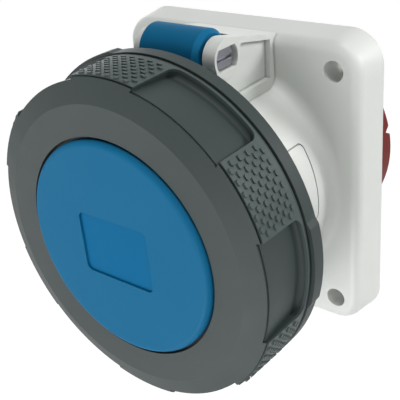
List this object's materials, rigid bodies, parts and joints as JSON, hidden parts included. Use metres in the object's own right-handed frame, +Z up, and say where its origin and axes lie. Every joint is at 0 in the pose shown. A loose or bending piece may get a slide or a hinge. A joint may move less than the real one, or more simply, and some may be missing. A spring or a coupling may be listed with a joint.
{
  "type": "industrial panel socket",
  "caption": "Blue and grey round industrial panel socket with a square flange, a hinged lid and a bayonet locking ring.",
  "frame": {"origin": "centre of the four fixing holes on the rear face of the flange, which lies against the panel", "axes": "+X to the right seen from the front, +Y into the panel, +Z up; the plug comes in from -Y"},
  "size_m": [0.0799, 0.076, 0.0819],
  "materials": {
    "housing_plastic": "light grey moulded plastic, satin",
    "ring_plastic": "dark grey moulded plastic, fine grain",
    "lid_plastic": "blue moulded plastic, satin",
    "carrier_plastic": "red-brown moulded plastic",
    "seal_rubber": "black moulded rubber",
    "bright_steel": "bright steel",
    "black_steel": "blackened spring steel",
    "contact_brass": "turned brass"
  },
  "bodies": {
    "housing": {"flange_housing": "housing_plastic", "flange_gasket": "seal_rubber", "hinge_pin": "bright_steel", "lid_spring": "bright_steel", "contact_block": "ring_plastic", "terminal_housing": "carrier_plastic", "carrier_screws": "bright_steel", "contact_sleeve_l": "contact_brass", "contact_sleeve_n": "contact_brass", "contact_sleeve_pe": "contact_brass", "sleeve_clip_l": "bright_steel", "sleeve_clip_n": "bright_steel", "sleeve_clip_pe": "bright_steel", "clamp_cage_l": "contact_brass", "clamp_cage_n": "contact_brass", "clamp_cage_pe": "contact_brass", "clamp_spring_l": "bright_steel", "clamp_spring_n": "bright_steel", "clamp_spring_pe": "bright_steel"},
    "lid": {"lid": "lid_plastic", "lid_gasket": "seal_rubber", "ring_retainer": "black_steel"},
    "ring": {"locking_ring": "ring_plastic"}
  },
  "joints": [
    {"name": "lid_hinge", "type": "hinge", "parent": "housing", "child": "lid", "pos_m": [0, -0.02665, 0.03635], "axis": [-1, 0, 0], "range_deg": [0, 112], "stiffness_Nm_per_rad": 0.03, "springref_deg": -45.84},
    {"name": "ring_turn", "type": "hinge", "parent": "lid", "child": "ring", "pos_m": [0, -0.045, 0], "axis": [0, 1, 0], "range_deg": [0, 30]}
  ]
}
